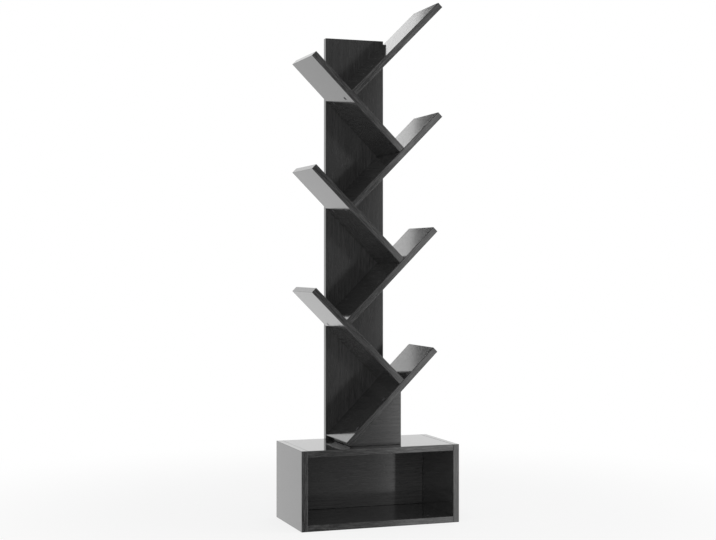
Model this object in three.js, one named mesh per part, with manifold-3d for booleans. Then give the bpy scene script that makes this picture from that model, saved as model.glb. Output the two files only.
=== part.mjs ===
// Tree-shaped bookshelf: seven leaning branches on a narrow spine, standing on an open box.
// Millimetres, +Z up, +Y to the back, +X to the right; the origin is the middle of the underside.
import * as THREE from 'three';
import * as BufferGeometryUtils from 'three/addons/utils/BufferGeometryUtils.js';
import Module from 'manifold-3d';

// Base box
const baseWidth = 418;
const baseDepth = 222;
const baseHeight = 198;
const baseThickness = 16;

// Spine
const spineWidth = 160;
const spineThickness = 16;
const spineRise = 155; // from the top joint to the spine's upper end

// Branches, all of one length; they meet at right angles, so each leans at 45 degrees
const branchLength = 330;
const branchDepth = 170;
const branchThickness = 16;
const branchLean = Math.PI / 4;
const lowerClearLength = 217; // from a branch's lower end to the next joint, three lower branches
const upperClearLength = 198; // the same, upper branches
const rightJointInset = 6.5; // from the spine's right edge to the right-hand joints
const lowerBranchCount = 3;
const branchCount = 7;

// Brace, the triangular board under the lowest branch
const braceSetback = 8; // behind the branches' front edges
const braceInset = 12; // from the spine's right edge to the brace's
const braceThickness = 16;
const braceToe = 4; // height of its blunt left end
const braceScrewShares = [0.24, 0.76]; // along its sloping edge
const braceFootShares = [0.58, 0.88]; // along its lower edge

// Board finish and fits
const edgeBevel = 0.5;
const gap = 0.3; // clearance between pieces that meet
const overrun = 2; // how far a cutter passes the face that it enters

// Connecting screw with a flush head
const screwLength = 50;
const screwHeadRadius = 5;
const screwRimDepth = 1;
const screwConeDepth = 3;
const screwShankRadius = 3.3;
const screwTipLength = 4;
const screwTipRadius = 1.5;
const screwSocketSides = 6;
const screwSocketWidth = 4; // across the flats
const screwSocketDepth = 2.5;
const screwSpacing = 96; // between the two screws of a joint
const spineFootScrewSpacing = 96;

// Cam lock: a disc in one board draws in the bolt that stands in the other
const camRadius = 7.5;
const camHeight = 12.5;
const camEdgeDistance = 34; // from the board's end to the disc's axis
const camFrontDistance = 37; // from the board's front edge, and from the back board
const camSlotWidth = 1.4;
const camSlotLength = 9;
const camSlotDepth = 2;
const boltThreadRadius = 3;
const boltThreadLength = 11;
const boltShankRadius = 2.6;
const boltHeadRadius = 3.4;
const boltBoreSpare = 0.6; // the bolt's bore is this much wider than its head
const boltHeadLength = 3;
const boltNeckRadius = 1.8;
const boltNeckLength = 3;

// Wooden dowel of the back board
const dowelRadius = 4;
const dowelLength = 30;
const dowelSideDepth = 11; // how deep it stands in the box's side
const dowelInset = 40; // from the back board's upper and lower edges
const dowelBevel = 1;
const dowelHoleSpare = 0.5; // depth left beyond each end

// Facets around a turned piece
const fineFacets = 24;
const plainFacets = 12;

// Places that follow from the sizes
const frontFace = -baseDepth / 2;
const backFace = baseDepth / 2;
const spineFront = backFace - spineThickness;
const branchBack = spineFront - gap;
const branchFront = spineFront - branchDepth;
const branchMiddle = (branchFront + spineFront) / 2;
const innerWidth = baseWidth - 2 * baseThickness;
const innerHeight = baseHeight - 2 * baseThickness;
const leanCos = Math.cos(branchLean);
const leanSin = Math.sin(branchLean);
const xAxis = new THREE.Vector3(1, 0, 0);
const yAxis = new THREE.Vector3(0, 1, 0);
const zAxis = new THREE.Vector3(0, 0, 1);
const backwards = (axis) => axis.clone().negate();

const wasm = await Module();
wasm.setup();

// Closed geometry to solid, and solid back to geometry with flat faces
function solidOf(geometry) {
  const bare = geometry.clone();
  bare.deleteAttribute('normal');
  bare.deleteAttribute('uv');
  const merged = BufferGeometryUtils.mergeVertices(bare);
  const mesh = new wasm.Mesh({
    numProp: 3,
    vertProperties: new Float32Array(merged.attributes.position.array),
    triVerts: new Uint32Array(merged.index.array),
  });
  return new wasm.Manifold(mesh);
}

function geometryOf(solid) {
  const mesh = solid.getMesh();
  const geometry = new THREE.BufferGeometry();
  geometry.setAttribute('position', new THREE.BufferAttribute(mesh.vertProperties, mesh.numProp));
  geometry.setIndex(new THREE.BufferAttribute(mesh.triVerts, 1));
  const flat = geometry.toNonIndexed();
  flat.computeVertexNormals();
  return flat;
}

function cut(geometry, cutters) {
  let solid = solidOf(geometry);
  for (const cutter of cutters) {
    solid = solid.subtract(solidOf(cutter));
  }
  return geometryOf(solid);
}

// A turned piece's profile is a list of radius and height, from axis to axis
function turned(profile, facets) {
  const points = profile.map(([radius, height]) => new THREE.Vector2(radius, height));
  return new THREE.LatheGeometry(points, facets);
}

// Moves a geometry so that its own +Y axis starts at a point and runs along a direction
function aimed(geometry, at, along) {
  const turn = new THREE.Quaternion().setFromUnitVectors(yAxis, along);
  const matrix = new THREE.Matrix4().compose(at, turn, new THREE.Vector3(1, 1, 1));
  return geometry.clone().applyMatrix4(matrix);
}

// Looks of the real materials
const laminate = () => new THREE.MeshStandardMaterial({ color: 0x232425, roughness: 0.32, metalness: 0 });
const blackSteel = () => new THREE.MeshStandardMaterial({ color: 0x2c2c2e, roughness: 0.35, metalness: 0.9 });
const zinc = () => new THREE.MeshStandardMaterial({ color: 0xb4b6b8, roughness: 0.4, metalness: 1 });
const beech = () => new THREE.MeshStandardMaterial({ color: 0xc8a577, roughness: 0.75, metalness: 0 });

function addMesh(parent, name, geometry, material) {
  const mesh = new THREE.Mesh(geometry, material);
  mesh.name = name;
  parent.add(mesh);
  return mesh;
}

// Puts a shared turned piece into a parent, along a direction
function addAimed(parent, name, geometry, material, at, along) {
  const mesh = addMesh(parent, name, geometry, material);
  mesh.position.copy(at);
  mesh.quaternion.setFromUnitVectors(yAxis, along);
  return mesh;
}

// A plain round cutter whose end lies a given depth past the origin on +Y
function roundCutter(radius, depth, facets) {
  const cutter = new THREE.CylinderGeometry(radius, radius, depth + overrun, facets);
  cutter.translate(0, (depth - overrun) / 2, 0);
  return cutter;
}

// A board from its lowest to its highest corner, with all its edges eased
function board(low, high) {
  const size = high.clone().sub(low);
  const thin = Math.min(size.x, size.y, size.z);
  const shape = new THREE.Shape();
  let across = size.x;
  let up = size.y;
  if (thin === size.x) across = size.z;
  if (thin === size.y) up = size.z;
  const right = across / 2 - edgeBevel;
  const top = up / 2 - edgeBevel;
  shape.moveTo(-right, -top);
  shape.lineTo(right, -top);
  shape.lineTo(right, top);
  shape.lineTo(-right, top);
  shape.closePath();
  const geometry = new THREE.ExtrudeGeometry(shape, {
    depth: thin - 2 * edgeBevel,
    bevelThickness: edgeBevel,
    bevelSize: edgeBevel,
    bevelSegments: 1,
  });
  geometry.translate(0, 0, edgeBevel - thin / 2);
  if (thin === size.x) geometry.rotateY(Math.PI / 2);
  if (thin === size.y) geometry.rotateX(Math.PI / 2);
  const middle = low.clone().add(high).multiplyScalar(0.5);
  geometry.translate(middle.x, middle.y, middle.z);
  return geometry;
}

// Screw: its axis is +Y, its head's flat face is at the origin and its tip ahead
function makeScrew() {
  const headDepth = screwRimDepth + screwConeDepth;
  const profile = [
    [0, 0],
    [screwHeadRadius, 0],
    [screwHeadRadius, screwRimDepth],
    [screwShankRadius, headDepth],
    [screwShankRadius, screwLength - screwTipLength],
    [screwTipRadius, screwLength],
    [0, screwLength],
  ];
  const socketRadius = screwSocketWidth / (2 * Math.cos(Math.PI / screwSocketSides));
  const socket = roundCutter(socketRadius, screwSocketDepth, screwSocketSides);
  return cut(turned(profile, plainFacets), [socket]);
}

// The room that the same screw needs, a clearance larger, open at the head's end
function screwRoom() {
  const headDepth = screwRimDepth + screwConeDepth;
  const reach = screwLength + gap;
  return turned([
    [0, -overrun],
    [screwHeadRadius + gap, -overrun],
    [screwHeadRadius + gap, screwRimDepth + gap],
    [screwShankRadius + gap, headDepth + gap],
    [screwShankRadius + gap, reach - screwTipLength],
    [screwTipRadius + gap, reach],
    [0, reach],
  ], plainFacets);
}

// Cam bolt: its thread starts at the origin and its head lies ahead on +Y
const boltLength = boltThreadLength + camEdgeDistance + boltHeadLength / 2;
function makeBolt() {
  const neckEnd = boltLength - boltHeadLength;
  return turned([
    [0, 0],
    [boltThreadRadius, 0],
    [boltThreadRadius, boltThreadLength - gap],
    [boltShankRadius, boltThreadLength - gap],
    [boltShankRadius, neckEnd - boltNeckLength],
    [boltNeckRadius, neckEnd - boltNeckLength],
    [boltNeckRadius, neckEnd],
    [boltHeadRadius, neckEnd],
    [boltHeadRadius, boltLength],
    [0, boltLength],
  ], plainFacets);
}

// Cam disc: its slotted face is at the origin, its body on +Y, and its bolt comes in along -X
function makeCam() {
  const boltAxis = baseThickness / 2 - gap;
  const body = new THREE.CylinderGeometry(camRadius, camRadius, camHeight, fineFacets);
  body.translate(0, camHeight / 2, 0);
  const notchWidth = 2 * (boltHeadRadius + gap);
  const notchFloor = boltAxis - notchWidth / 2;
  const notchReach = camRadius + overrun + boltHeadLength / 2 + gap;
  const notchHeight = camHeight - notchFloor + overrun;
  const notch = new THREE.BoxGeometry(notchReach, notchHeight, notchWidth);
  notch.translate(boltHeadLength / 2 + gap - notchReach / 2, notchFloor + notchHeight / 2, 0);
  const slot = new THREE.BoxGeometry(camSlotLength, camSlotDepth + overrun, camSlotWidth);
  slot.translate(0, (camSlotDepth - overrun) / 2, 0);
  const crossSlot = slot.clone().rotateY(Math.PI / 2);
  return cut(body, [notch, slot, crossSlot]);
}

function makeDowel() {
  return turned([
    [0, 0],
    [dowelRadius - dowelBevel, 0],
    [dowelRadius, dowelBevel],
    [dowelRadius, dowelLength - dowelBevel],
    [dowelRadius - dowelBevel, dowelLength],
    [0, dowelLength],
  ], plainFacets);
}

const screwShape = makeScrew();
const screwCutter = screwRoom();
const boltShape = makeBolt();
const camShape = makeCam();
const dowelShape = makeDowel();

// Where each branch starts: the foot stands on the box, and each joint lies along the last branch
function planBranches() {
  const branches = [];
  const rightJoint = spineWidth / 2 - rightJointInset;
  const start = new THREE.Vector3(
    rightJoint - lowerClearLength * leanCos,
    0,
    baseHeight + gap + branchThickness * leanCos,
  );
  for (let i = 0; i < branchCount; i += 1) {
    const side = i % 2 === 0 ? 1 : -1; // 1 leans to the right, -1 to the left
    const clear = i < lowerBranchCount ? lowerClearLength : upperClearLength;
    const level = Math.floor(i / 2) + 1;
    const name = (side > 0 ? 'right_branch_' : 'left_branch_') + level;
    branches.push({ name, side, clear, start: start.clone() });
    start.x += side * clear * leanCos;
    start.z += clear * leanSin;
  }
  return branches;
}

const branches = planBranches();
const lowest = branches[0];
const topJoint = branches[branchCount - 1].start;
const spineTop = topJoint.z + spineRise;

// Seats of the screws, each with the point where the head's face lies and the way it is driven
const headSink = gap; // how far a head lies below its face
const screwRows = [
  ['front', branchMiddle - screwSpacing / 2],
  ['back', branchMiddle + screwSpacing / 2],
];

// In a branch's own frame x runs along it, its lower end at zero, and z is zero on its upper face
function jointSeats(branch) {
  const x = branch.side * (branch.clear - branchThickness / 2);
  return screwRows.map(([row, y]) => ({
    row,
    at: new THREE.Vector3(x, y, headSink - branchThickness),
    along: zAxis,
  }));
}

// The same screws as they reach into the end of the branch above
function endSeats(branch) {
  const x = branch.side * (headSink - branchThickness);
  const along = branch.side > 0 ? xAxis : backwards(xAxis);
  return screwRows.map(([row, y]) => ({
    row,
    at: new THREE.Vector3(x, y, -branchThickness / 2),
    along,
  }));
}

// A screw from behind holds each branch on the spine's middle line
function spineSeat(branch) {
  const height = branch.start.z - branch.side * branch.start.x - branchThickness / (2 * leanCos);
  return { at: new THREE.Vector3(0, backFace - headSink, height), along: backwards(yAxis) };
}

function spineSeatOnBranch(branch) {
  const x = branch.side * (-branch.side * branch.start.x / leanCos - branchThickness / 2);
  return { at: new THREE.Vector3(x, backFace - headSink, -branchThickness / 2), along: backwards(yAxis) };
}

// Brace outline in the upright plane: its sloping edge lies under the lowest branch
const slopeOffset = lowest.start.z - lowest.start.x - (branchThickness + gap) / leanCos;
const braceRight = spineWidth / 2 - braceInset;
const braceTop = braceRight + slopeOffset;
const braceLeft = baseHeight + braceToe - slopeOffset;
const braceFront = branchFront + braceSetback;
const braceMiddle = braceFront + braceThickness / 2;
const braceFootLeft = baseHeight - slopeOffset;
const braceSlope = (braceRight - braceFootLeft) / leanCos;

// Screws through the lowest branch into the brace, in the branch's frame, heads on its upper face
function braceSeats() {
  const footOnBranch = (braceFootLeft - lowest.start.x) / leanCos - branchThickness - gap;
  return braceScrewShares.map((share) => ({
    at: new THREE.Vector3(footOnBranch + share * braceSlope, braceMiddle, -headSink),
    along: backwards(zAxis),
  }));
}

// Screws up through the box's top board, into the brace and into the spine's lower end
function topBoardSeats() {
  const z = baseHeight - baseThickness + headSink;
  const spineMiddle = spineFront + spineThickness / 2;
  const braceWidth = braceRight - braceFootLeft;
  const [nearShare, farShare] = braceFootShares;
  const places = [
    ['brace_foot_screw_left', braceFootLeft + nearShare * braceWidth, braceMiddle],
    ['brace_foot_screw_right', braceFootLeft + farShare * braceWidth, braceMiddle],
    ['spine_foot_screw_left', -spineFootScrewSpacing / 2, spineMiddle],
    ['spine_foot_screw_right', spineFootScrewSpacing / 2, spineMiddle],
  ];
  return places.map(([name, x, y]) => ({ name, at: new THREE.Vector3(x, y, z), along: zAxis }));
}

const screwCut = (seat) => aimed(screwCutter, seat.at, seat.along);

// A branch with the holes of its joints, of the spine screw and, on the lowest, of the brace
function makeBranch(branch, index) {
  const near = index === 0 ? 0 : gap;
  const ends = [branch.side * near, branch.side * (near + branchLength)];
  const low = new THREE.Vector3(Math.min(...ends), branchFront, -branchThickness);
  const high = new THREE.Vector3(Math.max(...ends), branchBack, 0);
  const seats = [spineSeatOnBranch(branch)];
  if (index > 0) seats.push(...endSeats(branch));
  if (index < branchCount - 1) seats.push(...jointSeats(branch));
  if (index === 0) seats.push(...braceSeats());
  return cut(board(low, high), seats.map(screwCut));
}

function addBranch(parent, branch, index) {
  const frame = new THREE.Group();
  frame.position.copy(branch.start);
  frame.rotation.y = -branch.side * branchLean;
  parent.add(frame);
  addMesh(frame, branch.name, makeBranch(branch, index), laminate());
  if (index < branchCount - 1) {
    for (const seat of jointSeats(branch)) {
      const name = `joint_${index + 1}_${seat.row}_screw`;
      addAimed(frame, name, screwShape, blackSteel(), seat.at, seat.along);
    }
  }
  if (index === 0) {
    braceSeats().forEach((seat, i) => {
      const name = i === 0 ? 'brace_screw_lower' : 'brace_screw_upper';
      addAimed(frame, name, screwShape, blackSteel(), seat.at, seat.along);
    });
  }
}

// The spine and the screws driven through it from behind
function addSpine(parent) {
  const low = new THREE.Vector3(-spineWidth / 2, spineFront, baseHeight);
  const high = new THREE.Vector3(spineWidth / 2, backFace, spineTop);
  const seats = branches.map(spineSeat);
  const footSeats = topBoardSeats().filter((seat) => seat.name.startsWith('spine'));
  const geometry = cut(board(low, high), [...seats, ...footSeats].map(screwCut));
  addMesh(parent, 'spine_board', geometry, laminate());
  seats.forEach((seat, i) => {
    addAimed(parent, `spine_screw_${i + 1}`, screwShape, blackSteel(), seat.at, seat.along);
  });
}

function addBrace(parent) {
  const shape = new THREE.Shape();
  shape.moveTo(braceLeft, baseHeight);
  shape.lineTo(braceRight, baseHeight);
  shape.lineTo(braceRight, braceTop);
  shape.lineTo(braceLeft, baseHeight + braceToe);
  shape.closePath();
  const plate = new THREE.ExtrudeGeometry(shape, { depth: braceThickness, bevelEnabled: false });
  plate.rotateX(Math.PI / 2);
  plate.translate(0, braceFront + braceThickness, 0);
  const footSeats = topBoardSeats().filter((seat) => seat.name.startsWith('brace'));
  const cutters = footSeats.map(screwCut);
  const branchFrame = new THREE.Matrix4().makeRotationY(-lowest.side * branchLean);
  branchFrame.setPosition(lowest.start);
  for (const seat of braceSeats()) {
    cutters.push(screwCut(seat).applyMatrix4(branchFrame));
  }
  addMesh(parent, 'brace_board', cut(plate, cutters), laminate());
}

// Cam locks at the ends of the box's top and bottom boards, two at each end
function camPlaces() {
  const rows = [
    ['front', frontFace + camFrontDistance],
    ['back', backFace - baseThickness - camFrontDistance],
  ];
  const sides = [['left', -1], ['right', 1]];
  const boards = [['top', baseHeight - baseThickness], ['bottom', 0]];
  const places = [];
  for (const [level, under] of boards) {
    for (const [sideName, side] of sides) {
      for (const [row, y] of rows) {
        places.push({ name: `${level}_${sideName}_${row}`, level, side, y, under });
      }
    }
  }
  return places;
}

const cams = camPlaces();
const boltStart = (place) => new THREE.Vector3(
  place.side * (innerWidth / 2 + boltThreadLength),
  place.y,
  place.under + baseThickness / 2,
);
const boltAim = (place) => (place.side > 0 ? backwards(xAxis) : xAxis);
const camStart = (place) => new THREE.Vector3(
  place.side * (innerWidth / 2 - camEdgeDistance),
  place.y,
  place.under + gap,
);

function addCams(parent) {
  for (const place of cams) {
    addAimed(parent, `cam_bolt_${place.name}`, boltShape, zinc(), boltStart(place), boltAim(place));
    const cam = addMesh(parent, `cam_disc_${place.name}`, camShape, zinc());
    cam.position.copy(camStart(place));
    cam.rotation.set(Math.PI / 2, place.side > 0 ? Math.PI : 0, 0, 'XYZ');
  }
}

// A level board of the box, with the rooms of its cams and bolts
function levelBoard(level, under) {
  const low = new THREE.Vector3(-innerWidth / 2, frontFace, under);
  const high = new THREE.Vector3(innerWidth / 2, backFace, under + baseThickness);
  const cutters = [];
  for (const place of cams.filter((one) => one.level === level)) {
    const seat = camStart(place);
    seat.z = place.under;
    cutters.push(aimed(roundCutter(camRadius + gap, camHeight + 2 * gap, fineFacets), seat, zAxis));
    const end = new THREE.Vector3(place.side * innerWidth / 2, place.y, under + baseThickness / 2);
    const bore = roundCutter(boltHeadRadius + boltBoreSpare, camEdgeDistance, plainFacets);
    cutters.push(aimed(bore, end, boltAim(place)));
  }
  if (level === 'top') cutters.push(...topBoardSeats().map(screwCut));
  return cut(board(low, high), cutters);
}

// Dowels that hold the back board between the sides
const dowelHeights = [
  ['lower', baseThickness + dowelInset],
  ['upper', baseHeight - baseThickness - dowelInset],
];
const dowelY = backFace - baseThickness / 2;

// Each dowel starts in the side and ends in the back board
const dowelStart = (side, z) => new THREE.Vector3(side * (innerWidth / 2 + dowelSideDepth), dowelY, z);
const dowelAim = (side) => (side > 0 ? backwards(xAxis) : xAxis);

function dowelCutters(side) {
  const length = dowelLength + 2 * dowelHoleSpare;
  const cutter = new THREE.CylinderGeometry(dowelRadius + gap, dowelRadius + gap, length, plainFacets);
  cutter.translate(0, dowelLength / 2, 0);
  return dowelHeights.map(([, z]) => aimed(cutter, dowelStart(side, z), dowelAim(side)));
}

function addDowels(parent) {
  for (const [sideName, side] of [['left', -1], ['right', 1]]) {
    for (const [row, z] of dowelHeights) {
      const name = `back_dowel_${sideName}_${row}`;
      addAimed(parent, name, dowelShape, beech(), dowelStart(side, z), dowelAim(side));
    }
  }
}

// A full-height side of the box, with blind holes for the bolts and dowels
function sideBoard(side) {
  const edges = [side * innerWidth / 2, side * baseWidth / 2];
  const low = new THREE.Vector3(Math.min(...edges), frontFace, 0);
  const high = new THREE.Vector3(Math.max(...edges), backFace, baseHeight);
  const cutters = dowelCutters(side);
  const hole = roundCutter(boltThreadRadius + gap, boltThreadLength + gap, plainFacets);
  for (const place of cams.filter((one) => one.side === side)) {
    const mouth = new THREE.Vector3(side * innerWidth / 2, place.y, place.under + baseThickness / 2);
    cutters.push(aimed(hole, mouth, side > 0 ? xAxis : backwards(xAxis)));
  }
  return cut(board(low, high), cutters);
}

function addBase(parent) {
  addMesh(parent, 'base_left_side', sideBoard(-1), laminate());
  addMesh(parent, 'base_right_side', sideBoard(1), laminate());
  addMesh(parent, 'base_top', levelBoard('top', baseHeight - baseThickness), laminate());
  addMesh(parent, 'base_bottom', levelBoard('bottom', 0), laminate());
  const low = new THREE.Vector3(-innerWidth / 2, backFace - baseThickness, baseThickness);
  const high = new THREE.Vector3(innerWidth / 2, backFace, baseThickness + innerHeight);
  const holes = [...dowelCutters(-1), ...dowelCutters(1)];
  addMesh(parent, 'base_back', cut(board(low, high), holes), laminate());
  addCams(parent);
  addDowels(parent);
  for (const seat of topBoardSeats()) {
    addAimed(parent, seat.name, screwShape, blackSteel(), seat.at, seat.along);
  }
}

const bookshelf = new THREE.Group();
addBase(bookshelf);
addSpine(bookshelf);
addBrace(bookshelf);
branches.forEach((branch, index) => addBranch(bookshelf, branch, index));

export default bookshelf;
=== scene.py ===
import math

import bpy
import numpy as np
from mathutils import Matrix, Vector


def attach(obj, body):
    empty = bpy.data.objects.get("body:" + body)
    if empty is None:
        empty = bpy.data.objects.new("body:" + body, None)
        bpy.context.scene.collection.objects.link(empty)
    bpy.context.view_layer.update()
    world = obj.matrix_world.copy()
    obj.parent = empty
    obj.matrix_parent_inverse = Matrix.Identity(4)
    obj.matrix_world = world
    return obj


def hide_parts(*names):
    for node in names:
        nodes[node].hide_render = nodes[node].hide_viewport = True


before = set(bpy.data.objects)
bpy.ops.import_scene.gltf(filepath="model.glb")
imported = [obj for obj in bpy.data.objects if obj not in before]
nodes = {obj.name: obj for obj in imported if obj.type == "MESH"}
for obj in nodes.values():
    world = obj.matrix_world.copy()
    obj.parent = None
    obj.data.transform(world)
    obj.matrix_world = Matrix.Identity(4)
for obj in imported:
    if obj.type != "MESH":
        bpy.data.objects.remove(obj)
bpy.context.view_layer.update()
print("frame loaded:", len(nodes), "nodes")

scene = bpy.context.scene
scene.view_settings.view_transform = "Standard"
xWay, yWay, zWay = Vector((1, 0, 0)), Vector((0, 1, 0)), Vector((0, 0, 1))
rightLean = (xWay + zWay).normalized()  # along the branches that lean to the right
leftLean = (zWay - xWay).normalized()


# Camera: level, in front of the shelf and to its left
cameraView = {
    "place": (-1.2188, -3.3858, 0.6596),
    "turnRight": 19.456,  # degrees from looking straight along +Y
    "pictureSize": (716, 540),
    "focalPixels": 1402.75,
    "axisPixel": (358.5, 262.41),  # where the lens axis meets the picture
    "sensor": 36,
}


def makeCamera(values):
    width, height = values["pictureSize"]
    axisX, axisY = values["axisPixel"]
    data = bpy.data.cameras.new("camera")
    data.sensor_width = values["sensor"]
    data.lens = values["sensor"] * values["focalPixels"] / width
    data.shift_x = (width / 2 - axisX) / width
    data.shift_y = (axisY - height / 2) / width
    camera = bpy.data.objects.new("camera", data)
    camera.location = values["place"]
    camera.rotation_euler = (math.pi / 2, 0, -math.radians(values["turnRight"]))
    scene.collection.objects.link(camera)
    scene.camera = camera


makeCamera(cameraView)


# Short ways to build node trees
def newMaterial(name):
    material = bpy.data.materials.new(name)
    material.use_nodes = True
    tree = material.node_tree
    tree.nodes.clear()
    return material, tree


def addNode(tree, kind, **settings):
    node = tree.nodes.new(kind)
    for key, value in settings.items():
        setattr(node, key, value)
    return node


# A socket takes a number as its own value, and the output of another node as a link
def feed(tree, socket, value):
    if isinstance(value, (int, float)):
        socket.default_value = value
    else:
        tree.links.new(value, socket)


def mathNode(tree, operation, first, second):
    node = addNode(tree, "ShaderNodeMath", operation=operation)
    feed(tree, node.inputs[0], first)
    feed(tree, node.inputs[1], second)
    return node.outputs[0]


def mixNode(tree, share, first, second):
    node = addNode(tree, "ShaderNodeMix", data_type="FLOAT")
    feed(tree, node.inputs[0], share)
    feed(tree, node.inputs[2], first)
    feed(tree, node.inputs[3], second)
    return node.outputs[0]


def vectorNode(tree, operation, first, second=None):
    node = addNode(tree, "ShaderNodeVectorMath", operation=operation)
    tree.links.new(first, node.inputs[0])
    if second is not None:
        node.inputs[1].default_value = second
    return node.outputs["Value" if operation in ("DOT_PRODUCT", "LENGTH") else "Vector"]


def mixShader(tree, share, first, second):
    node = addNode(tree, "ShaderNodeMixShader")
    tree.links.new(share, node.inputs["Fac"])
    tree.links.new(first.outputs[0], node.inputs[1])
    tree.links.new(second.outputs[0], node.inputs[2])
    return node


# A smooth step from low to high while the value crosses the span
def rangeNode(tree, value, span, low=0, high=1):
    node = addNode(tree, "ShaderNodeMapRange", interpolation_type="SMOOTHSTEP")
    tree.links.new(value, node.inputs["Value"])
    node.inputs["From Min"].default_value = span[0]
    node.inputs["From Max"].default_value = span[1]
    node.inputs["To Min"].default_value = low
    node.inputs["To Max"].default_value = high
    return node.outputs["Result"]


# The same over a span of angles above level, for the height of a direction
def riseNode(tree, height, angles, low=0, high=1):
    return rangeNode(tree, height, [math.sin(math.radians(angle)) for angle in angles], low, high)


def objectPlace(tree):
    return addNode(tree, "ShaderNodeTexCoord").outputs["Object"]


# The pattern has so many swings per metre along each axis, and a detail and a roughness
def noiseNode(tree, vector, stretch, texture):
    noise = addNode(tree, "ShaderNodeTexNoise")
    noise.inputs["Scale"].default_value = 1
    noise.inputs["Detail"].default_value = texture[0]
    noise.inputs["Roughness"].default_value = texture[1]
    tree.links.new(vectorNode(tree, "MULTIPLY", vector, stretch), noise.inputs["Vector"])
    return noise.outputs["Fac"]


def rampNode(tree, value, stops):
    node = addNode(tree, "ShaderNodeValToRGB")
    elements = node.color_ramp.elements
    while len(elements) < len(stops):
        elements.new(0.5)
    for element, (place, colour) in zip(elements, stops):
        element.position = place
        element.color = (*colour, 1)
    tree.links.new(value, node.inputs["Fac"])
    return node.outputs["Color"]


# Relief is a strength and a depth in metres
def bumpNode(tree, height, relief):
    bump = addNode(tree, "ShaderNodeBump")
    bump.inputs["Strength"].default_value = relief[0]
    bump.inputs["Distance"].default_value = relief[1]
    tree.links.new(height, bump.inputs["Height"])
    return bump.outputs["Normal"]


def principledNode(tree, sockets):
    shader = addNode(tree, "ShaderNodeBsdfPrincipled")
    for name, value in sockets.items():
        feed(tree, shader.inputs[name], value)
    return shader


def finishMaterial(tree, shader):
    output = addNode(tree, "ShaderNodeOutputMaterial")
    tree.links.new(shader.outputs[0], output.inputs["Surface"])


# Meshes from arrays of rings: one row of points for each ring, joined to the next ring
def gridFaces(rings, around):
    here = np.arange(around)
    ahead = np.roll(here, -1)
    rows = np.arange(rings - 1)[:, None] * around
    quads = np.stack([rows + here, rows + ahead, rows + around + ahead, rows + around + here], 2)
    return quads.reshape(-1, 4).tolist()


# The grid with a flat face over its first ring and one over its last
def closedFaces(rings, around):
    first = list(range(around))
    last = [(rings - 1) * around + corner for corner in first]
    return [*gridFaces(rings, around), first[::-1], last]


def newObject(name, points, faces, materials, faceSlots=None):
    mesh = bpy.data.meshes.new(name)
    mesh.from_pydata(points.tolist(), [], faces)
    for material in materials:
        mesh.materials.append(material)
    if faceSlots is not None:
        mesh.polygons.foreach_set("material_index", faceSlots)
    mesh.update()
    piece = bpy.data.objects.new(name, mesh)
    scene.collection.objects.link(piece)
    return piece


def fullTurn(around):
    return np.arange(around) * 2 * math.pi / around


# A point of a turned shape is its radius times the unit circle, at its depth along the axis. The
# radius is given for each ring of points, and may change round the ring.
def turnedPoints(radii, depths):
    radii = np.array(radii)
    angles = fullTurn(radii.shape[1])
    circle = np.stack([np.cos(angles), np.sin(angles)], 1)
    flat = radii[:, :, None] * circle
    height = np.broadcast_to(np.array(depths)[:, None, None], (*radii.shape, 1))
    return np.concatenate([flat, height], 2).reshape(-1, 3)


# Round rings and their depths, from a profile of radius and depth
def evenRings(profile, around):
    return [np.full(around, radius) for radius, _ in profile], [depth for _, depth in profile]


# Studio: white seamless floor and surround. Gloss sees a bright panel on the front right, a dimmer
# one on the front left, a dim room between them, and behind the shelf a pale backdrop that ends
# high up.
studio = {
    "floorReach": 9.0,
    "floorSides": 96,
    "floorPale": 0.86,  # the floor's own colour, which takes the shadow
    "shadowKept": 0.2,  # share of the lit floor in what the camera sees near the shelf
    "shadowFade": (0.5, 1.6),  # distances between which that share goes to nothing
    "ambient": 0.5,  # the surround's even light on all that isn't a mirror
    "behind": 0.88,  # the backdrop
    "leftBehind": 0.97,
    "leftBehindEdge": (-0.25, -0.05),  # of a direction's X, as in leftPanelEdge
    "backdropTop": 1.12,  # the backdrop grows paler upwards, and the room above it is dark
    "backdropRise": (17.0, 20.5),  # degrees above level, as in every fade below
    "aboveBackdrop": 0.05,
    "backdropEnd": (21.55, 21.85),
    "ahead": 0.18,  # the room in front, between the two panels
    "aheadTop": 0.05,
    "aheadFade": (12.0, 18.0),
    "leftPanel": 0.45,
    "leftPanelEdge": (-0.36, -0.14),
    "panel": 1.42,
    "panelTurn": 20.85,  # degrees from straight ahead to the panel's left edge
    "panelEdge": (-0.012, 0.012),  # sine of the angle past that edge
    "panelTop": 0.45,  # the panel fades upwards
    "panelFade": (5.5, 12.0),
    "groundAhead": 0.4,
    "groundFade": (-24.0, -12.5),
    "turnToBack": (-0.5, 0.2),  # of a direction's Y
}


# Whether a ray is the camera's own, straight or through glass, and whether gloss sends it
def shownToView(tree):
    path = addNode(tree, "ShaderNodeLightPath")
    straight, through = path.outputs["Is Camera Ray"], path.outputs["Is Transmission Ray"]
    return mathNode(tree, "MAXIMUM", straight, through), path.outputs["Is Glossy Ray"]


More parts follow.
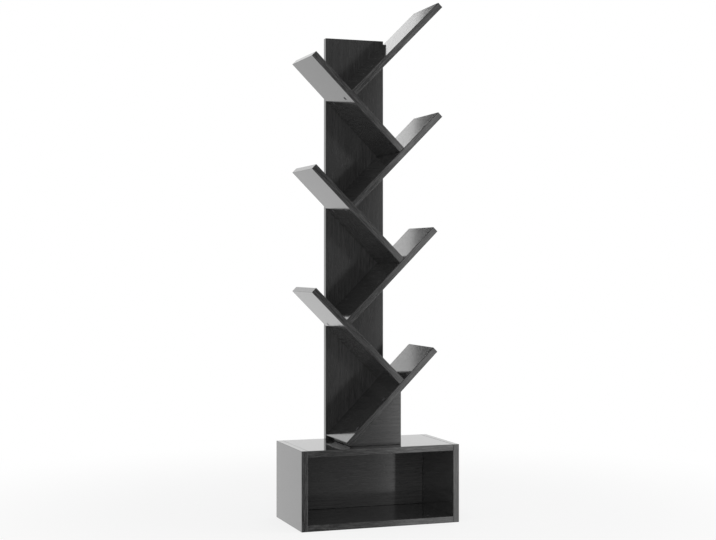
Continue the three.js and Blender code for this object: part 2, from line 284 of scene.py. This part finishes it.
# The brightness that gloss sees in each direction
def glossLevel(tree, direction, values):
    split = addNode(tree, "ShaderNodeSeparateXYZ")
    tree.links.new(direction, split.inputs[0])
    across, height = split.outputs["X"], split.outputs["Z"]
    turn = math.radians(values["panelTurn"])
    side = vectorNode(tree, "DOT_PRODUCT", direction, (math.cos(turn), math.sin(turn), 0))
    panel = riseNode(tree, height, values["panelFade"], values["panel"], values["panelTop"])
    ahead = rangeNode(tree, across, values["leftPanelEdge"], values["leftPanel"], values["ahead"])
    ahead = mixNode(tree, riseNode(tree, height, values["aheadFade"]), ahead, values["aheadTop"])
    front = mixNode(tree, rangeNode(tree, side, values["panelEdge"]), ahead, panel)
    aboveGround = riseNode(tree, height, values["groundFade"])
    front = mixNode(tree, aboveGround, values["groundAhead"], front)
    back = rangeNode(tree, across, values["leftBehindEdge"], values["leftBehind"], values["behind"])
    nearTop = riseNode(tree, height, values["backdropRise"])
    back = mixNode(tree, nearTop, back, values["backdropTop"])
    overTop = riseNode(tree, height, values["backdropEnd"])
    back = mixNode(tree, overTop, back, values["aboveBackdrop"])
    return mixNode(tree, rangeNode(tree, split.outputs["Y"], values["turnToBack"]), front, back)


# The camera sees the lit floor with its shadow, faded to white further out. Gloss looks through
# the floor at the surround, which goes on below it. The floor is a disc: its reach times the unit
# circle.
def makeFloor(values):
    material, tree = newMaterial("studioFloor")
    diffuse = addNode(tree, "ShaderNodeBsdfDiffuse")
    diffuse.inputs["Color"].default_value = (values["floorPale"],) * 3 + (1,)
    distance = vectorNode(tree, "LENGTH", objectPlace(tree))
    white = rangeNode(tree, distance, values["shadowFade"], 1 - values["shadowKept"], 1)
    seen, glossy = shownToView(tree)
    emission = addNode(tree, "ShaderNodeEmission")
    clear = addNode(tree, "ShaderNodeBsdfTransparent")
    shown = mixShader(tree, mathNode(tree, "MULTIPLY", seen, white), diffuse, emission)
    finishMaterial(tree, mixShader(tree, glossy, shown, clear))
    sides = values["floorSides"]
    points = turnedPoints(*evenRings([(values["floorReach"], 0)], sides))
    floor = newObject("studioFloor", points, [list(range(sides))], [material])


# The surround is white to the camera, lights the shelf evenly, and has its own picture for gloss
def makeSurround(values):
    world = bpy.data.worlds.new("studioSurround")
    world.use_nodes = True
    tree = world.node_tree
    tree.nodes.clear()
    direction = addNode(tree, "ShaderNodeTexCoord").outputs["Generated"]
    seen, glossy = shownToView(tree)
    other = mathNode(tree, "SUBTRACT", 1, mathNode(tree, "MAXIMUM", seen, glossy))
    mirrored = mathNode(tree, "MULTIPLY", glossy, glossLevel(tree, direction, values))
    lighting = mathNode(tree, "MULTIPLY", other, values["ambient"])
    strength = mathNode(tree, "ADD", mathNode(tree, "ADD", seen, mirrored), lighting)
    background = addNode(tree, "ShaderNodeBackground")
    background.inputs["Color"].default_value = (1, 1, 1, 1)
    tree.links.new(strength, background.inputs["Strength"])
    output = addNode(tree, "ShaderNodeOutputWorld")
    tree.links.new(background.outputs[0], output.inputs["Surface"])
    scene.world = world


# Each soft lamp: its place, the point it faces, its width and height, and its brightness as seen
lamps = {
    "key": {"place": (-1.5, -4.1, 1.4), "faces": (0, 0, 0.65), "size": (1.8, 1.8), "glow": 6.5},
    "overhead": {"place": (0, -0.4, 3.4), "faces": (0, 0, 0), "size": (2.4, 2.4), "glow": 1.0},
    "right": {"place": (3.2, -1.6, 1.4), "faces": (0, 0, 0.7), "size": (1.9, 2.4), "glow": 1.6},
}


def makeLamp(name, values):
    width, height = values["size"]
    data = bpy.data.lights.new(name, "AREA")
    data.shape = "RECTANGLE"
    data.size = width
    data.size_y = height
    data.energy = math.pi * width * height * values["glow"]
    lamp = bpy.data.objects.new(name, data)
    place = Vector(values["place"])
    lamp.location = place
    lamp.rotation_euler = (Vector(values["faces"]) - place).to_track_quat("-Z", "Y").to_euler()
    lamp.visible_glossy = False  # gloss sees the surround instead
    scene.collection.objects.link(lamp)


makeFloor(studio)
makeSurround(studio)
for lampName, lampValues in lamps.items():
    makeLamp(lampName, lampValues)
print("studio made")


# Laminate: a woodgrain under a clear gloss. A pattern's three numbers are swings per metre along
# the grain and the two ways across it, and a texture is its detail and roughness.
laminateLook = {
    "darkest": 0.019,
    "lightest": 0.041,
    "streaks": (7, 170, 170),
    "streakTexture": (4, 0.6),
    "streakSpan": (0.3, 0.7),
    "streakLow": 0.35,  # tone of the darkest streaks
    "fibres": (38, 1500, 1500),
    "fibreTexture": (3, 0.55),
    "poreSpan": (0.36, 0.50),
    "glossSpan": (0.25, 0.75),
    "smoothest": 0.07,
    "roughest": 0.12,
    "streakHeight": 0.5,  # against a height of 1 between the pores
    "relief": (0.2, 0.00004),
    "ior": 1.5,
    "coatWeight": 0.75,
    "coatRoughness": 0.05,
}
# The edge bands have a coarser and stronger grain than the faces
bandLook = {
    **laminateLook,
    "darkest": 0.010,
    "lightest": 0.062,
    "streaks": (30, 300, 300),
    "streakLow": 0.05,
}
grainWays = {
    "level": (xWay, yWay),
    "upright": (zWay, xWay),
    "deep": (yWay, zWay),
    "right": (rightLean, yWay),
    "left": (leftLean, yWay),
}


# Turns a place into one along the first way, along the second, and square to both
def axesMatrix(along, across):
    return Matrix((along, across, along.cross(across)))


def grainMaterial(name, along, across, look):
    material, tree = newMaterial(name)
    mapping = addNode(tree, "ShaderNodeMapping", vector_type="POINT")
    mapping.inputs["Rotation"].default_value = axesMatrix(along, across).to_euler("XYZ")
    tree.links.new(objectPlace(tree), mapping.inputs["Vector"])
    place = mapping.outputs["Vector"]
    streaks = noiseNode(tree, place, look["streaks"], look["streakTexture"])
    fibres = noiseNode(tree, place, look["fibres"], look["fibreTexture"])
    pores = rangeNode(tree, fibres, look["poreSpan"])
    streakTone = rangeNode(tree, streaks, look["streakSpan"], look["streakLow"], 1)
    tone = mathNode(tree, "MULTIPLY", streakTone, pores)
    streakHeight = mathNode(tree, "MULTIPLY", streaks, look["streakHeight"])
    height = mathNode(tree, "ADD", pores, streakHeight)
    darkest, lightest = (look["darkest"],) * 3, (look["lightest"],) * 3
    gloss = rangeNode(tree, streaks, look["glossSpan"], look["roughest"], look["smoothest"])
    shader = principledNode(tree, {
        "Base Color": rampNode(tree, tone, [(0, darkest), (1, lightest)]),
        "Roughness": gloss,
        "Normal": bumpNode(tree, height, look["relief"]),
        "IOR": look["ior"],
        "Coat Weight": look["coatWeight"],
        "Coat IOR": look["ior"],
        "Coat Roughness": look["coatRoughness"],
    })
    finishMaterial(tree, shader)
    return material


# Metals: colour, roughness and relief follow one fine cloud
metalCloud = {
    "pattern": (900, 900, 900),
    "texture": (3, 0.6),
    "span": (0.3, 0.7),
    "darkShare": 0.8,
    "roughShares": (0.8, 1.2),
}
metalLooks = {
    # The same dull black also lines the boards' holes, where it is painted shade.
    "blackSteelAndHoleShade": {  # dull black coat
        "colour": (0.07, 0.07, 0.074),
        "metallic": 0,
        "specular": 0.25,
        "roughness": 0.6,
        "relief": (0.3, 0.00005),
    },
    "zincCast": {
        "colour": (0.56, 0.57, 0.59),
        "metallic": 1,
        "specular": 0.5,
        "roughness": 0.38,
        "relief": (0.3, 0.0001),
    },
}


def metalMaterial(name):
    look = metalLooks[name]
    material, tree = newMaterial(name)
    span = metalCloud["span"]
    cloud = noiseNode(tree, objectPlace(tree), metalCloud["pattern"], metalCloud["texture"])
    dark = tuple(metalCloud["darkShare"] * part for part in look["colour"])
    roughness = [look["roughness"] * share for share in metalCloud["roughShares"]]
    shader = principledNode(tree, {
        "Base Color": rampNode(tree, cloud, [(span[0], dark), (span[1], look["colour"])]),
        "Roughness": rangeNode(tree, cloud, span, *roughness),
        "Normal": bumpNode(tree, cloud, look["relief"]),
        "Metallic": look["metallic"],
        "Specular IOR Level": look["specular"],
    })
    finishMaterial(tree, shader)
    return material


# Raw wood: the chips inside the boards, which show in their holes, and the dowels' beech
rawLooks = {
    "chipboardCore": {
        "pattern": (700, 700, 1500),
        "texture": (4, 0.7),
        "stops": [
            (0.3, (0.16, 0.10, 0.055)),
            (0.55, (0.42, 0.30, 0.18)),
            (0.75, (0.60, 0.47, 0.31)),
        ],
        "roughness": 0.9,
        "relief": (0.6, 0.0004),
    },
    "beechWood": {
        "pattern": (120, 1400, 1400),
        "texture": (4, 0.6),
        "stops": [(0.3, (0.42, 0.27, 0.14)), (0.7, (0.66, 0.48, 0.29))],
        "roughness": 0.75,
        "relief": (0.4, 0.0001),
    },
}


def rawMaterial(name):
    look = rawLooks[name]
    material, tree = newMaterial(name)
    chips = noiseNode(tree, objectPlace(tree), look["pattern"], look["texture"])
    shader = principledNode(tree, {
        "Base Color": rampNode(tree, chips, look["stops"]),
        "Roughness": look["roughness"],
        "Normal": bumpNode(tree, chips, look["relief"]),
    })
    finishMaterial(tree, shader)
    return material


grains, bands = {}, {}
for grainName, grainAxes in grainWays.items():
    grains[grainName] = grainMaterial(grainName + "Laminate", *grainAxes, laminateLook)
    bands[grainName] = grainMaterial(grainName + "EdgeBand", *grainAxes, bandLook)
blackSteelAndHoleShade, zincCast = metalMaterial("blackSteelAndHoleShade"), metalMaterial("zincCast")
chipboard, beech = rawMaterial("chipboardCore"), rawMaterial("beechWood")
print("finishes made")


# What all pieces share: places read from their nodes, and how they stand for them
touch = 1e-5  # metres within which a point lies in a node's outermost plane
sharpFrom = 32  # degrees between two faces from which their edge stays sharp


def nodePoints(node):
    mesh = nodes[node].data
    points = np.empty(len(mesh.vertices) * 3)
    mesh.vertices.foreach_get("co", points)
    return points.reshape(-1, 3)


# A fastener's seat is the middle of its first face along its way
def seatOf(node, way):
    points = nodePoints(node)
    depths = points @ np.array(way)
    head = points[depths < depths.min() + touch]
    middle = (head.min(0) + head.max(0)) / 2
    return Vector(middle), float(depths.max() - depths.min())


def seatMatrix(seat, way):
    turn = zWay.rotation_difference(way).to_matrix().to_4x4()
    return Matrix.Translation(seat) @ turn


def moved(points, matrix):
    return (np.column_stack([points, np.ones(len(points))]) @ np.array(matrix).T)[:, :3]


def turnedPiece(name, radii, depths, matrix, material):
    faces = closedFaces(len(radii), len(radii[0]))
    piece = newObject(name, turnedPoints(radii, depths), faces, [material])
    piece.data.transform(matrix)
    return piece


# The thread's radius follows a triangle wave along the axis, whose phase moves by one pitch for
# each turn, and which grows from nothing at both ends.
def threadRings(look, start, end, crest, root):
    angles, pitch = fullTurn(look["around"]), look["threadPitch"]
    step = pitch / look["rowsPerTurn"]
    rings, depths = [], []
    for depth in np.arange(start + step, end, step):
        phase = (depth / pitch - angles / (2 * math.pi)) % 1
        wave = 1 - np.abs(2 * phase - 1)
        ease = min(1, (depth - start) / pitch, (end - depth) / pitch)
        rings.append(root + (crest - root) * wave * ease)
        depths.append(depth)
    return rings, depths


def applyModifiers(piece):
    graph = bpy.context.evaluated_depsgraph_get()
    made = bpy.data.meshes.new_from_object(piece.evaluated_get(graph))
    old = piece.data
    piece.modifiers.clear()
    piece.data = made
    bpy.data.meshes.remove(old)


def standFor(piece, node):
    piece.data.shade_smooth()
    piece.data.set_sharp_from_angle(angle=math.radians(sharpFrom))
    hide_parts(node)
    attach(piece, "root")


# Screws with a flush head and a hexagon socket
screwLook = {
    "headRadius": 0.005,
    "headEdge": 0.00025,
    "edgeMiddle": 0.000075,  # how far the middle of the head's rounded edge lies in from both faces
    "rimDepth": 0.001,
    "coneDepth": 0.003,
    "shankRadius": 0.0033,
    "plainLength": 0.011,
    "coreRadius": 0.0025,
    "threadPitch": 0.0026,
    "tipLength": 0.004,
    "tipRadius": 0.0015,
    "socketReach": 0.002,  # half the width across the flats
    "socketMouth": 0.00224,
    "socketDepth": 0.0025,
    "pointReach": 0.001,  # the socket's floor dips to a small hexagon
    "pointDepth": 0.0005,
    "around": 36,
    "rowsPerTurn": 6,
}
# The way that each kind of screw runs, but for those in the joints
driveWays = {
    "spine_screw": -yWay,
    "spine_foot": zWay,
    "brace_foot": zWay,
    "brace_screw": -leftLean,
}


# The screws of the odd joints run along the left branches, those of the even ones along the right
def screwWay(node):
    for start, way in driveWays.items():
        if node.startswith(start):
            return way
    number = int(node.split("_")[1])
    return leftLean if number % 2 else rightLean


# Each row of the head is a radius, a depth and the share of a hexagon in its outline, from the
# socket's floor over its mouth to the round rim
def screwPiece(node):
    look = screwLook
    way = screwWay(node)
    seat, length = seatOf(node, way)
    around = look["around"]
    sixth = math.pi / 3
    hexagon = 1 / np.cos((fullTurn(around) % sixth) - sixth / 2)
    reach, socket = look["socketReach"], look["socketDepth"]
    head, edge, middle = look["headRadius"], look["headEdge"], look["edgeMiddle"]
    shank, core = look["shankRadius"], look["coreRadius"]
    coneEnd = look["rimDepth"] + look["coneDepth"]
    threadStart = coneEnd + look["plainLength"]
    threadEnd = length - look["tipLength"]
    rows = [
        (look["pointReach"], socket + look["pointDepth"], 1),
        (reach, socket, 1),
        (reach, edge, 1),
        (look["socketMouth"], 0, 1),
        (head - edge, 0, 0),
        (head - middle, middle, 0),
        (head, edge, 0),
        (head, look["rimDepth"], 0),
        (shank, coneEnd, 0),
        (shank, threadStart, 0),
    ]
    headRings = [radius * (share * hexagon + 1 - share) for radius, _, share in rows]
    headDepths = [depth for _, depth, _ in rows]
    thread = threadRings(look, threadStart, threadEnd, shank, core)
    tip = evenRings([(core, threadEnd), (look["tipRadius"], length)], around)
    rings = headRings + thread[0] + tip[0]
    depths = headDepths + thread[1] + tip[1]
    piece = turnedPiece(node + "_turned", rings, depths, seatMatrix(seat, way), blackSteelAndHoleShade)
    standFor(piece, node)
    return {"seat": seat, "way": way, "length": length}


screws = [screwPiece(node) for node in sorted(nodes) if "screw" in node]
print("screws made:", len(screws))


# Boards: an eased outline, a thin edge band with a fine seam beside it, and drilled holes
boardLook = {
    "easeRadius": 0.00086,
    "easeSteps": 4,
    "bandThickness": 0.001,
    "seamWidth": 0.0002,
    "seamDepth": 0.00012,
    "flatMargin": 0.00012,
    "mergeWithin": 1e-7,
    "holeGap": 0.0001,
    "holeSides": 48,
    "cutterOverrun": 0.002,
    "pathSamples": 51,  # points tested along a screw for whether it meets the board
}


# Rows of inset and height, from the seam on the upper face round the edge to the one below
def edgeProfile(thickness):
    look = boardLook
    half, ease = thickness / 2, look["easeRadius"]
    band, seam = look["bandThickness"], look["seamWidth"]
    rows = [(band + seam, half), (band + seam / 2, half - look["seamDepth"]), (band, half)]
    for turn in np.linspace(0, math.pi / 2, look["easeSteps"] + 1):
        rows.append((ease - ease * math.sin(turn), half - ease + ease * math.cos(turn)))
    rows.append((0, half - ease - look["flatMargin"]))
    return rows + [(inset, -height) for inset, height in rows[::-1]]


# The outline's corners moved inwards, with the outward ways of the edges before and after each
def cornerPlaces(outline, inset):
    edges = np.roll(outline, -1, 0) - outline
    edges /= np.linalg.norm(edges, axis=1)[:, None]
    outward = np.stack([edges[:, 1], -edges[:, 0]], 1)
    before = np.roll(outward, 1, 0)
    lean = (before + outward) / (1 + (before * outward).sum(1))[:, None]
    return outline - inset * lean, before, outward


# A ring is the outline moved inwards by an inset, with its corners rounded by what is left of
# the easing radius, at one height above the board's middle plane. A margin before and after each
# corner keeps the long faces flat in shading. The surface is the stack of these rings over the
# edge profile, closed by a flat face at each end. Its materials are those of the faces, the long
# edges and the short ones.
def boardMesh(name, outline, thickness, materials):
    look = boardLook
    ease, steps = look["easeRadius"], look["easeSteps"]
    core, before, outward = cornerPlaces(outline, ease)
    share = np.linspace(0, 1, steps + 1)[None, :, None]
    fan = before[:, None, :] * (1 - share) + outward[:, None, :] * share
    fan /= np.linalg.norm(fan, axis=2)[:, :, None]
    fan = np.concatenate([fan[:, :1], fan, fan[:, -1:]], 1)
    margin = np.zeros_like(fan)
    margin[:, 0] = np.stack([before[:, 1], -before[:, 0]], 1) * look["flatMargin"]
    margin[:, -1] = np.stack([-outward[:, 1], outward[:, 0]], 1) * look["flatMargin"]
    rings = []
    for inset, height in edgeProfile(thickness):
        if inset < ease:
            flat = core[:, None, :] + (ease - inset) * fan + margin
        else:
            flat = cornerPlaces(outline, inset)[0][:, None, :] + 0 * fan
        flat = flat.reshape(-1, 2)
        rings.append(np.column_stack([flat, np.full(len(flat), height)]))
    around, count = len(rings[0]), len(rings)
    faces = [face[::-1] for face in closedFaces(count, around)]
    sides = np.tile(np.arange(around) // fan.shape[1], count - 1)
    rows = np.repeat(np.arange(count - 1), around)
    banded = (rows >= 1) & (rows < count - 2)
    slots = np.where(banded, 1 + sides % 2, 0).tolist() + [0, 0]
    piece = newObject(name, np.concatenate(rings), faces, materials, slots)
    merge = piece.modifiers.new("merge", "WELD")
    merge.merge_threshold = look["mergeWithin"]
    applyModifiers(piece)
    return piece


# A hole is a closed turned solid: a profile of radius and depth carried round its axis. The first
# stretch of its wall has the second of the cutter's materials, and the rest has the first; with a
# profile of only two rows that stretch is the whole wall.
def holeCutter(profile, matrix):
    sides = boardLook["holeSides"]
    points = moved(turnedPoints(*evenRings(profile, sides)), matrix)
    slots = [1] * sides + [0] * (sides * (len(profile) - 2) + 2)
    return points, closedFaces(len(profile), sides), slots


def screwHole(screw):
    look, gap = screwLook, boardLook["holeGap"]
    head, shank = look["headRadius"] + gap, look["shankRadius"] + gap
    rim = look["rimDepth"] + gap
    profile = [
        (head, -boardLook["cutterOverrun"]),
        (head, rim),
        (shank, rim + look["coneDepth"]),
        (shank, screw["length"] - look["tipLength"]),
        (look["tipRadius"] + gap, screw["length"] + gap),
    ]
    return holeCutter(profile, seatMatrix(screw["seat"], screw["way"]))


def plainHole(radius, depth, mouth, way):
    profile = [(radius, -boardLook["cutterOverrun"]), (radius, depth)]
    return holeCutter(profile, seatMatrix(mouth, way))


# A prism runs from one outline to another of as many corners, the second at the far depth
def prism(nearOutline, farOutline, nearDepth, farDepth, matrix):
    count = len(nearOutline)
    near = np.column_stack([nearOutline, np.full(count, nearDepth)])
    far = np.column_stack([farOutline, np.full(count, farDepth)])
    return moved(np.concatenate([near, far]), matrix), closedFaces(2, count), [0] * (count + 2)


def cutAway(piece, cutters, materials):
    if not cutters:
        return
    points, faces, slots, start = [], [], [], 0
    for cutterPoints, cutterFaces, cutterSlots in cutters:
        points.append(cutterPoints)
        faces += [[start + corner for corner in face] for face in cutterFaces]
        slots += cutterSlots
        start += len(cutterPoints)
    cutter = newObject("cutter", np.concatenate(points), faces, materials, slots)
    boolean = piece.modifiers.new("cut", "BOOLEAN")
    boolean.operation = "DIFFERENCE"
    boolean.solver = "EXACT"
    boolean.material_mode = "TRANSFER"
    boolean.object = cutter
    applyModifiers(piece)
    bpy.data.objects.remove(cutter)


def passesThrough(screw, low, high, toBoard):
    start = toBoard @ screw["seat"]
    end = toBoard @ (screw["seat"] + screw["length"] * screw["way"])
    steps = [start.lerp(end, share) for share in np.linspace(0, 1, boardLook["pathSamples"])]
    return any(all(low[i] < place[i] < high[i] for i in range(3)) for place in steps)


# Fittings of the box: cam discs, their bolts, and dowels. Each adds the holes that it needs to its
# boards: those in the first round may not touch each other, and the bolts' bores come after them.
firstHoles, laterHoles = {}, {}


def addHole(rounds, board, cutter):
    rounds.setdefault(board, []).append(cutter)


def sideOf(node):
    return -1 if "_left_" in node else 1


def nearSide(node):
    return "base_left_side" if sideOf(node) < 0 else "base_right_side"


def levelBoard(node):
    return "base_top" if "_top_" in node else "base_bottom"


camLook = {
    "radius": 0.0075,
    "height": 0.0125,
    "rimEdge": 0.00035,
    "edgeMiddle": 0.000105,  # how far the middle of the rounded edge lies in from both faces
    "rimHeight": 0.003,
    "footHeight": 0.0015,
    "waistRadius": 0.0066,
    "waistEase": 0.0004,
    "boltHeight": 0.0077,  # from the slotted face to the bolt's axis
    "boltRoom": 0.0037,
    "boltReach": 0.0019,  # how far its room goes past the middle
    "crossReach": (0.0045, 0.0031),  # at the face and at the bottom of the cross slot
    "crossHalf": (0.0007, 0.0005),
    "crossDepth": 0.002,
    "markPlace": 0.0056,  # the pointer that shows where the bolt comes in
    "markReach": 0.0008,
    "markDepth": 0.0003,
    "around": 48,
}


def crossOutline(reach, half):
    arm = np.array([[reach, -half], [reach, half], [half, half]])
    quarter = np.array([[0, 1], [-1, 0]])
    return np.concatenate([arm @ np.linalg.matrix_power(quarter, turn) for turn in range(4)])


# A cam disc is a reel turned from its profile, with room for the bolt's head, a cross slot that
# tapers inwards, and a small pointer
def camPiece(node):
    look = camLook
    side = sideOf(node)
    seat, _ = seatOf(node, zWay)
    place = seatMatrix(seat, zWay)
    radius, waist, ease = look["radius"], look["waistRadius"], look["waistEase"]
    edge, middle = look["rimEdge"], look["edgeMiddle"]
    rim, foot, height = look["rimHeight"], look["footHeight"], look["height"]
    profile = [
        (radius - edge, 0),
        (radius - middle, middle),
        (radius, edge),
        (radius, rim),
        (waist, rim + ease),
        (waist, height - foot - ease),
        (radius, height - foot),
        (radius, height - edge),
        (radius - edge, height),
    ]
    piece = turnedPiece(node + "_cast", *evenRings(profile, look["around"]), place, zincCast)
    room, past = look["boltRoom"], look["boltReach"]
    boltRoom = [(room - ease, -past), (room, ease - past), (room, radius + ease)]
    boltPlace = seatMatrix(seat + look["boltHeight"] * zWay, side * xWay)
    near, far = (crossOutline(*sizes) for sizes in zip(look["crossReach"], look["crossHalf"]))
    reach = look["markReach"]
    mark = np.array([[0, -reach], [reach, 0], [0, reach]]) + [look["markPlace"], 0]
    if side < 0:
        mark = mark[::-1] * [-1, 1]
    gap = boardLook["holeGap"]
    cutters = [
        holeCutter(boltRoom, boltPlace),
        prism(near, far, -gap, look["crossDepth"], place),
        prism(mark, mark, -gap, look["markDepth"], place),
    ]
    cutAway(piece, cutters, [zincCast, zincCast])
    standFor(piece, node)
    addHole(firstHoles, levelBoard(node), plainHole(radius + gap, height + gap, seat, zWay))


boltLook = {
    "tipRadius": 0.00154,
    "tipLength": 0.00066,
    "threadRadius": 0.003,
    "threadRoot": 0.0022,
    "threadPitch": 0.002,
    "threadLength": 0.0107,
    "sideDepth": 0.011,  # how deep the bolt stands in the side board
    "collarRadius": 0.0032,
    "collarLength": 0.0012,
    "collarEase": 0.0003,
    "shankRadius": 0.0026,
    "neckRadius": 0.0018,
    "neckLength": 0.003,
    "headRadius": 0.0034,
    "headLength": 0.003,
    "headEase": 0.0006,
    "headSlope": 0.00015,  # rise of the head's inner face towards its edge
    "edgeMiddle": 0.0002,
    "boreRadius": 0.004,
    "boreDepth": 0.034,
    "around": 32,
    "rowsPerTurn": 6,
}


# A cam bolt: a thread, a collar that rests on the side board, a shank, a neck and a round head
def boltPiece(node):
    look = boltLook
    way = -sideOf(node) * xWay
    seat, length = seatOf(node, way)
    thread, root, around = look["threadLength"], look["threadRoot"], look["around"]
    collar, collarEnd = look["collarRadius"], thread + look["collarLength"]
    shank, neck, head = look["shankRadius"], look["neckRadius"], look["headRadius"]
    ease, middle = look["headEase"], look["edgeMiddle"]
    headStart = length - look["headLength"]
    neckStart = headStart - look["neckLength"]
    start = evenRings([(look["tipRadius"], 0), (root, look["tipLength"])], around)
    turns = threadRings(look, look["tipLength"], thread, look["threadRadius"], root)
    rest = evenRings([
        (collar, thread + look["collarEase"]),
        (collar, collarEnd),
        (shank, collarEnd + ease),
        (shank, neckStart - ease),
        (neck, neckStart),
        (neck, headStart),
        (head - ease, headStart + look["headSlope"]),
        (head, headStart + ease),
        (head, length - ease),
        (head - middle, length - middle),
        (head - ease, length),
    ], around)
    rings = start[0] + turns[0] + rest[0]
    depths = start[1] + turns[1] + rest[1]
    piece = turnedPiece(node + "_turned", rings, depths, seatMatrix(seat, way), zincCast)
    standFor(piece, node)
    gap, inSide = boardLook["holeGap"], look["sideDepth"]
    mouth = seat + inSide * way
    sideHole = plainHole(look["threadRadius"] + gap, inSide + gap, mouth, -way)
    addHole(firstHoles, nearSide(node), sideHole)
    bore = plainHole(look["boreRadius"], look["boreDepth"], mouth, way)
    addHole(laterHoles, levelBoard(node), bore)


dowelLook = {
    "radius": 0.004,
    "fluteDepth": 0.00025,
    "flutes": 20,
    "bevel": 0.001,
    "bevelMiddle": (0.6, 0.15),  # shares of the bevel, inwards and along, at which it bends
    "around": 120,
    "sideDepth": 0.011,  # how deep the dowel stands in the side board
    "holeSpare": 0.0005,
}


# A dowel's radius swings with the angle, so that shallow flutes run along it between its bevels
def dowelPiece(node):
    look = dowelLook
    way = -sideOf(node) * xWay
    seat, length = seatOf(node, way)
    radius, bevel, around = look["radius"], look["bevel"], look["around"]
    inwards, along = (share * bevel for share in look["bevelMiddle"])
    flutes = look["fluteDepth"] * (0.5 + 0.5 * np.cos(look["flutes"] * fullTurn(around)))
    plain = np.full(around, radius)
    rings = [plain - bevel, plain - inwards, plain - flutes]
    depths = [0, along, bevel]
    rings += rings[::-1]
    depths += [length - depth for depth in depths[::-1]]
    piece = turnedPiece(node + "_fluted", rings, depths, seatMatrix(seat, way), beech)
    standFor(piece, node)
    wide, spare, inSide = radius + boardLook["holeGap"], look["holeSpare"], look["sideDepth"]
    mouth = seat + inSide * way
    addHole(firstHoles, nearSide(node), plainHole(wide, inSide + spare, mouth, -way))
    addHole(firstHoles, "base_back", plainHole(wide, length - inSide + spare, mouth, way))


for fitting in sorted(nodes):
    if fitting.startswith("cam_disc"):
        camPiece(fitting)
    elif fitting.startswith("cam_bolt"):
        boltPiece(fitting)
    elif "dowel" in fitting:
        dowelPiece(fitting)
print("fittings made")


# Each board: the way it runs, the way across it, and the grain of its faces, long and short edges
boards = {
    "base_left_side": (yWay, zWay, ("deep", "deep", "upright")),
    "base_right_side": (yWay, zWay, ("deep", "deep", "upright")),
    "base_top": (xWay, yWay, ("level", "level", "deep")),
    "base_bottom": (xWay, yWay, ("level", "level", "deep")),
    "base_back": (xWay, zWay, ("level", "level", "upright")),
    "spine_board": (zWay, xWay, ("upright", "upright", "level")),
    "brace_board": (xWay, zWay, ("level", "level", "upright")),
}
for branch in sorted(nodes):
    if "branch" in branch:
        leanName = branch.split("_")[0]
        boards[branch] = (grainWays[leanName][0], yWay, (leanName, leanName, "deep"))


# The outline is read from the node's outermost points. It is a rectangle, but the brace is a
# triangle with a low blunt start.
def boardPiece(node, along, across, grainNames):
    toBoard = axesMatrix(along, across)
    local = nodePoints(node) @ np.array(toBoard).T
    low, high = local.min(0), local.max(0)
    startTop = local[local[:, 0] < low[0] + touch, 1].max()
    outline = np.array([low[:2], [high[0], low[1]], high[:2], [low[0], startTop]])
    faceGrain, longBand, shortBand = grainNames
    materials = [grains[faceGrain], bands[longBand], bands[shortBand]]
    piece = boardMesh(node + "_laminated", outline, high[2] - low[2], materials)
    lift = Matrix.Translation((0, 0, (low[2] + high[2]) / 2))
    piece.data.transform(toBoard.inverted().to_4x4() @ lift)
    holes = [screwHole(screw) for screw in screws if passesThrough(screw, low, high, toBoard)]
    # The holes are lined with the screws' dull black instead of raw chipboard. This covers the
    # head's stretch of each screw hole and the whole wall of every plain hole. It is painted shade
    # in the narrow gaps round heads, discs, bolts and dowels and in the deep bores. At the screw
    # heads it is also the dark sealing of the drilled edge.
    for cutters in (holes + firstHoles.get(node, []), laterHoles.get(node, [])):
        cutAway(piece, cutters, [chipboard, blackSteelAndHoleShade])
    standFor(piece, node)


for board, boardValues in boards.items():
    boardPiece(board, *boardValues)
print("boards made:", len(boards))


bpy.context.view_layer.update()
